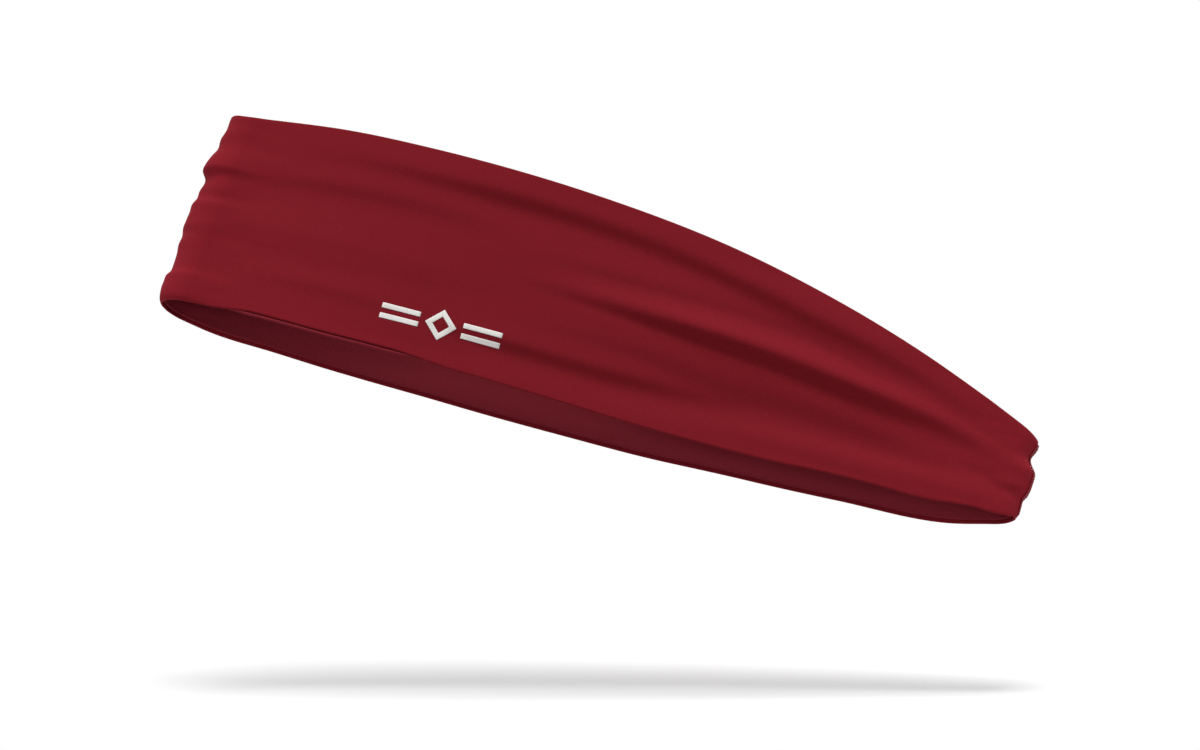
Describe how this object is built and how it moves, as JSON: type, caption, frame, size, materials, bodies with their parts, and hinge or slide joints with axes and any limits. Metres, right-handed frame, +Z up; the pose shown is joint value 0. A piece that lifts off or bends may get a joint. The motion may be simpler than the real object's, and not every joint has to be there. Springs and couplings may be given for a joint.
{
  "type": "sports headband",
  "caption": "Tapered loop of two-layer stretch knit, wide over the forehead and narrow at the nape, that holds back hair and soaks up sweat in sport.",
  "frame": {"origin": "middle of the band's footprint, on the plane that the lower rim stands on", "axes": "+X along the flat band from the forehead bend to the nape seam, +Y across the mouth from the side with the ornament to the plain side, +Z up along the loop's axis"},
  "size_m": [0.235, 0.0322, 0.0577],
  "materials": {
    "outer_knit": "fine matt jersey knit, deep maroon red",
    "inner_knit": "matt jersey knit, deep maroon red",
    "bond_tape": "thin elastic bonding film, maroon",
    "seam_tape": "smooth bonded stretch tape, maroon",
    "seam_thread": "textured polyester sewing thread, maroon",
    "transfer_film": "silvery white heat-transfer film",
    "care_print": "thin translucent grey print"
  },
  "bodies": {
    "root": {"outer_layer": "outer_knit", "inner_layer": "inner_knit", "upper_edge_tape": "bond_tape", "lower_edge_tape": "bond_tape", "nape_seam_tape": "seam_tape", "nape_seam_thread": "seam_thread", "front_transfer": "transfer_film", "care_transfer": "care_print"}
  },
  "joints": []
}
